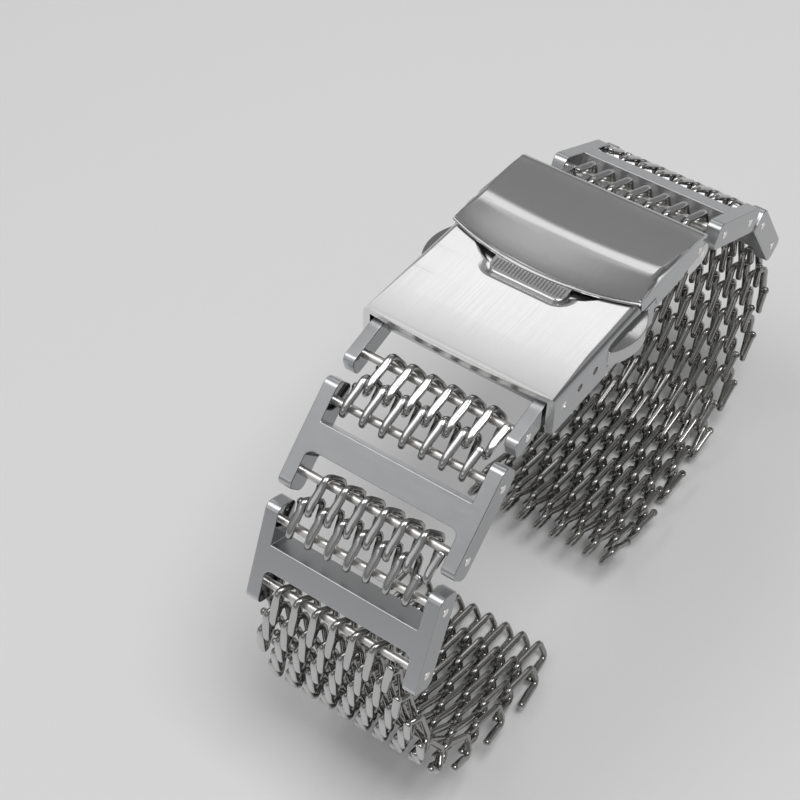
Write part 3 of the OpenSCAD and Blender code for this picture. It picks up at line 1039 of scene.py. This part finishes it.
@dataclass
class FlipLock:
    """The flip lock: a thin bowed plate with a round crest, turned-down sides and a ribbed nail tab."""

    width: float = 23.4
    front: float = 15.0
    front_bow: float = 2.4
    base: float = 3.45
    front_top: float = 3.95
    crest: float = 4.6
    crest_place: float = 21.35
    crest_bow: float = 0.8
    crest_round: float = 0.9
    pin: Pair = (30.6, 1.65)
    nose: float = 1.9
    skin: float = 0.5
    ledge: float = 0.33
    ledge_height: float = 0.2
    edge_round: float = 1.2
    flange: float = 0.8
    flange_out: float = 11.67
    tab_width: float = 9.4
    tab_length: float = 2.0
    tab_base: float = 3.2
    tab_thickness: float = 0.3
    tab_droop: float = 6.0
    tab_round: float = 1.1
    ribs: int = 22
    rib_radius: float = 0.12
    rib_length: float = 1.4
    rib_margin: float = 0.3
    rib_place: float = 1.05
    rib_squeeze: float = 0.8
    ledge_round: float = 0.06
    front_edge: tuple[Pair, ...] = ((0.0, -0.22), (0.04, -0.1), (0.12, -0.02), (0.28, 0.01))
    face_steps: int = 5
    crest_steps: int = 9
    plate_steps: int = 14
    rim_steps: int = 8

    def front_at(self, x: float) -> float:
        """Where the front edge is at a distance from the middle."""
        radius = ((self.width / 2) ** 2 + self.front_bow ** 2) / (2 * self.front_bow)
        return self.front + radius - math.sqrt(radius * radius - x * x)

    def section(self, x: float) -> Outline:
        """The plate's closed outline at a distance from the middle.

        Args:
            x: the distance in millimetres.

        Returns:
            The outline in y and z, the same number of points at every distance.
        """
        front = self.front_at(x)
        crest = self.crest_place + self.crest_bow * (x / (self.width / 2)) ** 2
        tail_y, tail_z = self.pin[0], self.pin[1] + self.nose
        rise = (self.crest - self.front_top) / (self.crest_place - self.front)
        fall = (self.crest - tail_z) / (tail_y - self.crest_place)
        lip, step, r = front - self.ledge, self.base + self.ledge_height, self.crest_round
        points = [(lip, self.base), (lip, step - self.ledge_round),
                  (lip + self.ledge_round, step), (front, step)]
        points += [(front + out, self.front_top + up) for out, up in self.front_edge]
        edge, count = self.front_edge[-1][0], self.face_steps
        for i in range(1, count + 1):
            y = front + edge + (crest - r - front - edge) * i / count
            slope = rise * (front - self.front) * (1 - i / count)
            points.append((y, self.front_top + rise * (y - self.front) - slope))
        for i in range(1, self.crest_steps):
            u = -r + 2 * r * i / self.crest_steps
            bulge = (r ** 2 - u * u) / (4 * r) * (rise + fall)
            mix = (u + r) / (2 * r)
            line = -rise * r * (1 - mix) - fall * r * mix
            points.append((crest + u, self.crest + line + bulge))
        for i in range(count):
            y = crest + r + (tail_y - crest - r) * i / count
            points.append((y, self.crest - fall * (y - crest)))
        points += arc(self.pin, self.nose, 90, 45, 6)
        points += arc(self.pin, self.nose - self.skin, 45, 90, 6)
        points += [(self.crest_place, self.base)]
        slack = abs(x) - (self.width / 2 - self.edge_round)
        if slack > 0:
            top = self.crest - self.edge_round + math.sqrt(max(self.edge_round ** 2 - slack ** 2, 0.0))
            points = [(y, min(z, top)) for y, z in points]
        return points

    def plate(self) -> BMesh:
        """Loft the plate from side to side.

        Returns:
            The closed mesh, in millimetres in the clasp's frame.
        """
        inner = self.width / 2 - self.edge_round
        places = [inner * i / self.plate_steps for i in range(-self.plate_steps, self.plate_steps + 1)]
        rim = [inner + self.edge_round * math.sin(math.radians(90 * i / self.rim_steps))
               for i in range(1, self.rim_steps + 1)]
        places = [-x for x in reversed(rim)] + places + rim
        return skin([[(x, y, z) for y, z in self.section(x)] for x in places])

    def flange_outline(self) -> Outline:
        """Draw a turned-down side.

        Returns:
            Its points in y and z.
        """
        y, z = self.pin
        return [(17.6, 3.5), (17.6, 1.95), (20.85, 1.95), (21.35, 0.6), (28.8, 0.6), (y, 0.8), (y + 0.6, 1.1),
                (y + 0.86, z), (y + 0.6, 2.3), (y, z + self.nose - 0.1), (self.crest_place, 4.2), (18.2, 3.7)]

    def tab_outline(self) -> Outline:
        """Draw the nail tab.

        Returns:
            Its points seen from above.
        """
        x, y, r = self.tab_width / 2, self.front - self.tab_length, self.tab_round
        return (arc((r - x, y + r), r, 180, 270) + arc((x - r, y + r), r, 270, 360)
                + [(x, self.front + 1.5), (-x, self.front + 1.5)])

    def ribs_mesh(self, name: str) -> Object:
        """Set the ribs side by side with a node tree.

        Args:
            name: the piece's name.

        Returns:
            The ribs, in millimetres in the clasp's frame.
        """
        maker = Generator("tab_ribs", {"Count": "Int", "Width": "Float", "Length": "Float", "Radius": "Float",
                                       "Place": "Vector", "Finish": "Material"})
        graph, given = maker.graph, maker.given.outputs
        index = Value(maker.tree, graph.add("GeometryNodeInputIndex").outputs[0])
        width, count = Value(maker.tree, given["Width"]), Value(maker.tree, given["Count"])
        line = graph.add("GeometryNodeMeshLine", {"Count": count})
        spot = graph.add("ShaderNodeCombineXYZ", {"X": (index + 0.5) * width / count - width * 0.5})
        row = graph.add("GeometryNodeSetPosition", {"Geometry": line, "Position": spot})
        rod = graph.add("GeometryNodeMeshCylinder", {
            "Vertices": 12, "Radius": given["Radius"], "Depth": given["Length"]})
        laid = graph.add("GeometryNodeTransform", {
            "Geometry": rod, "Rotation": (math.pi / 2, 0.0, 0.0), "Scale": (self.rib_squeeze, 1.0, 1.0)})
        ribs = graph.add("GeometryNodeInstanceOnPoints", {"Points": row, "Instance": laid})
        maker.close(graph.add("GeometryNodeTransform", {"Geometry": ribs, "Translation": given["Place"]}))
        place_y = self.front - self.tab_length + self.rib_place
        return maker.run(name, {
            "Count": self.ribs, "Width": self.tab_width - 2 * self.rib_margin, "Length": self.rib_length,
            "Radius": self.rib_radius, "Place": (0.0, place_y, self.tab_base + self.tab_thickness),
            "Finish": WORKSHOP.finish(SATIN_LOCK)})

    def build(self, node: str, body: str, slot: str, matrix: Matrix) -> None:
        """Build the lock in place of its solid.

        Args:
            node: the solid's name.
            body: the body's name.
            slot: the material slot; not used.
            matrix: the clasp's own frame.
        """
        lock = to_object(node + "_plate", self.plate())
        for side in (-1, 1):
            low, high = sorted((side * self.flange_out, side * (self.flange_out - self.flange)))
            combine(lock, to_object("flange", prism(self.flange_outline(), low, high, "x")), "UNION")
        root = Matrix.Translation((0.0, self.front + 0.2, self.tab_base))
        droop = root @ Matrix.Rotation(math.radians(self.tab_droop), 4, "X") @ root.inverted()
        tab_top = self.tab_base + self.tab_thickness
        tab = to_object("tab", prism(self.tab_outline(), self.tab_base, tab_top, "z"))
        tab.data.transform(droop)
        combine(lock, tab, "UNION")
        half, near = self.tab_width / 2 - 0.1, self.front + 0.25
        neck = rounded_box((-half, near), (half, near + 1.4), 0.3)
        combine(lock, to_object("neck", prism(neck, self.tab_base + 0.02, self.base + 0.2, "z")), "UNION")
        finish_piece(lock, node, body, matrix, (SATIN_LOCK, POLISHED_SHADED_SIDE), 0.07, 50.0, 0.05)
        ribs = self.ribs_mesh(node + "_ribs")
        ribs.data.transform(matrix @ Matrix.Scale(MM, 4) @ droop)
        for face in ribs.data.polygons:
            face.use_smooth = True
        ribs.data.set_sharp_from_angle(angle=RIB_SHARP)
        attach(ribs, body)
        LOG.info("%s: %d ribs, %d faces", ribs.name, self.ribs, len(ribs.data.polygons))


@dataclass
class ReturnSpring:
    """The spring between the buttons, in two halves."""

    half_length: float = 9.45
    radius: float = 0.55
    wire: float = 0.11
    turns: int = 7
    steps: int = 18
    sides: int = 8
    middle: Pair = (11.9, 0.95)
    keep: float = 0.875

    def half(self, side: int) -> BMesh:
        """Wind one half.

        Args:
            side: 1 towards +X, -1 towards -X.

        Returns:
            The closed mesh, in millimetres in the clasp's frame.
        """
        work = bmesh.new()
        count = self.turns * self.steps
        around = [2 * math.pi * k / self.sides for k in range(self.sides)]
        rings = []
        for i in range(count + 1):
            turn = 2 * math.pi * i / self.steps
            out = Vector((0.0, math.cos(turn), side * math.sin(turn)))
            spot = Vector((side * (self.wire + (self.half_length - 2 * self.wire) * i / count), *self.middle))
            spot += out * self.radius
            rings.append([work.verts.new(spot + self.wire * (out * math.cos(b) + ACROSS * math.sin(b)))
                          for b in around])
        for one, two in zip(rings, rings[1:]):
            for k in range(self.sides):
                m = (k + 1) % self.sides
                work.faces.new((one[k], two[k], two[m], one[m]))
        work.faces.new(rings[0])
        work.faces.new(rings[-1])
        for face in work.faces:
            face.smooth = len(face.verts) == 4
        bmesh.ops.recalc_face_normals(work, faces=work.faces)
        return work

    def build(self, node: str, body: str, slot: str, matrix: Matrix) -> None:
        """Build both halves in place of the solid.

        Args:
            node: the solid's name.
            body: the body's name.
            slot: the material slot; not used.
            matrix: the clasp's own frame.
        """
        for side, hand in ((-1, "left"), (1, "right")):
            piece = to_object(f"{node}_{hand}", self.half(side))
            dress(piece.data, SPRING_WIRE)
            piece.data.transform(matrix @ Matrix.Scale(MM, 4))
            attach(piece, body)
            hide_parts(node)
            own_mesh(piece)
            LOG.info("%s: %d faces", piece.name, len(piece.data.polygons))


OUTLINED = ("cover", "flip_lock", "button_spring")
MACHINED = {"button_left": (POLISHED_BUTTON, 0.1), "button_right": (POLISHED_BUTTON, 0.1),
            "upper_blade": (BRUSHED_BLADE, 0.1), "lower_blade": (BRUSHED_BLADE, 0.12)}


def dress_rigid_pieces() -> None:
    """Build the blades and the buttons, and dress the small pieces that stay as they are."""
    bodies = {node: body for body, nodes in frame["record"]["behaviour"]["bodies"].items() for node in nodes}
    slots = {part["node"]: part["material_slot"] for part in frame["record"]["subparts"]}
    for node, body in bodies.items():
        if "coil" in node or ("link" in node and "pin" not in node) or node in OUTLINED:
            continue
        if node in MACHINED:
            finish, edge = MACHINED[node]
            RigidPiece(node, body, slots[node], finish, edge).build()
            continue
        dress(frame["nodes"][node].data, DRAWN_PIN)
        LOG.info("%s keeps its solid, in %s", node, DRAWN_PIN.name)


# ---- studio ----


@dataclass(frozen=True)
class SoftBox:
    """A lamp that looks at the band."""

    name: str
    heading: float                  # degrees, from the far side towards +X
    height: float                   # degrees over the floor
    reach: float                    # metres
    size: Pair       # width and height in metres
    level: float                    # brightness, where 1 is white

    def hang(self, aim: Vector) -> None:
        """Hang the lamp.

        Args:
            aim: the point that it looks at.
        """
        turn, lift = math.radians(self.heading), math.radians(self.height)
        way = Vector((math.sin(turn) * math.cos(lift), math.cos(turn) * math.cos(lift), math.sin(lift)))
        spot = aim + self.reach * way
        lamp = bpy.data.lights.new(self.name, "AREA")
        lamp.shape = "RECTANGLE"
        lamp.size, lamp.size_y = self.size
        lamp.energy = self.level * math.pi * self.size[0] * self.size[1]
        holder = bpy.data.objects.new(self.name, lamp)
        holder.location = spot
        holder.rotation_euler = (aim - spot).to_track_quat("-Z", "Y").to_euler()
        bpy.context.scene.collection.objects.link(holder)


@dataclass
class Studio:
    """The floor, the lamps, the surroundings and the camera."""

    floor_colour: Triple = (0.8, 0.8, 0.8)
    floor_roughness: float = 0.9
    floor_reach: float = 1.5
    world_level: float = 0.26
    lamp_aim: Triple = (0.0, 0.0, 0.04)
    lamps: tuple[SoftBox, ...] = (
        SoftBox("overhead_box", 95.0, 72.0, 0.6, (0.24, 0.24), 9.0),
        SoftBox("cover_panel", -19.0, 34.0, 0.6, (0.36, 0.15), 1.12),
        SoftBox("strip_panel", -113.0, 66.0, 0.55, (0.34, 0.3), 2.1),
        SoftBox("front_panel", -153.0, 30.0, 0.6, (0.3, 0.17), 0.7))
    camera_azimuth: float = 35.34
    camera_elevation: float = 47.51
    camera_distance: float = 175.0
    camera_shift: Pair = (2.03, -1.48)
    camera_clip: Pair = (0.005, 10.0)
    sensor_width: float = 36.0
    focal_pixels: float = 1746.8
    picture_pixels: float = 800.0
    band_turn: float = -9.1
    band_origin: Triple = (0.0, 5.7, 0.6)
    clasp_edge: Triple = (0.0, -13.713, 53.374)

    def lay_floor(self) -> None:
        """Lay a pale matt floor under the band."""
        mesh = bpy.data.meshes.new("studio_floor")
        r = self.floor_reach
        mesh.from_pydata([(-r, -r, 0), (r, -r, 0), (r, r, 0), (-r, r, 0)], [], [(0, 1, 2, 3)])
        floor = place("studio_floor", mesh)
        material = bpy.data.materials.new("pale_floor")
        material.use_nodes = True
        shader = material.node_tree.nodes["Principled BSDF"]
        shader.inputs["Base Color"].default_value = (*self.floor_colour, 1.0)
        shader.inputs["Roughness"].default_value = self.floor_roughness
        mesh.materials.append(material)

    def light(self) -> None:
        """Set the surroundings and the lamps."""
        world = bpy.data.worlds.new("studio")
        bpy.context.scene.world = world
        world.use_nodes = True
        background = world.node_tree.nodes["Background"]
        background.inputs["Color"].default_value = (1.0, 1.0, 1.0, 1.0)
        background.inputs["Strength"].default_value = self.world_level
        for lamp in self.lamps:
            lamp.hang(Vector(self.lamp_aim))
        bpy.context.scene.view_settings.view_transform = "Standard"

    def set_camera(self) -> None:
        """Put the camera at the picture's angle."""
        azimuth, elevation = math.radians(self.camera_azimuth), math.radians(self.camera_elevation)
        back = Vector((math.sin(azimuth) * math.cos(elevation), -math.cos(azimuth) * math.cos(elevation),
                       math.sin(elevation)))
        right = Vector((math.cos(azimuth), math.sin(azimuth), 0.0))
        up = back.cross(right)
        eye = back * self.camera_distance - right * self.camera_shift[0] - up * self.camera_shift[1]
        turn = Matrix.Rotation(math.radians(self.band_turn), 3, "X")
        spot = turn @ (eye - Vector(self.band_origin)) + Vector(self.clasp_edge)
        matrix = Matrix((turn @ right, turn @ up, turn @ back)).transposed().to_4x4()
        matrix.translation = spot * MM
        lens = bpy.data.cameras.new("camera")
        lens.sensor_width = self.sensor_width
        lens.lens = self.focal_pixels / self.picture_pixels * lens.sensor_width
        lens.clip_start, lens.clip_end = self.camera_clip
        camera = bpy.data.objects.new("camera", lens)
        camera.matrix_world = matrix
        bpy.context.scene.collection.objects.link(camera)
        bpy.context.scene.camera = camera

    def build(self) -> None:
        """Set up the whole studio."""
        self.lay_floor()
        self.light()
        self.set_camera()


def numbered(stem: str, first: int, last: int) -> list[str]:
    """Names from stem_first to stem_last."""
    return [f"{stem}_{number}" for number in range(first, last + 1)]


def main() -> None:
    """Build every piece."""
    logging.basicConfig(level=logging.INFO, format="%(name)s: %(message)s")
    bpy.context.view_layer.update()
    Studio().build()
    tree = CoilTree()
    near = ["u_link", *numbered("strip_coil", 1, 2), "h_link_1", *numbered("strip_coil", 3, 4), "h_link_2",
            *numbered("front_coil", 1, 13)]
    far = [*numbered("strip_coil", 5, 6), "h_link_3", *numbered("strip_coil", 7, 8), "h_link_4",
           *numbered("back_coil", 1, 15)]
    Band(Half.NEAR, near, "watch_end_near").build(tree)
    Band(Half.FAR, far, "watch_end_far").build(tree)
    turn = Matrix.Rotation(math.radians(-CLASP_TILT), 4, "X")
    clasp = Matrix.Translation(Vector(Studio.clasp_edge) * MM) @ turn
    Cover().build("cover", "cover", "cover", clasp)
    FlipLock().build("flip_lock", "flip_lock", "lock", clasp)
    ReturnSpring().build("button_spring", "cover", "spring", clasp)
    dress_rigid_pieces()


if __name__ == "__main__":
    main()
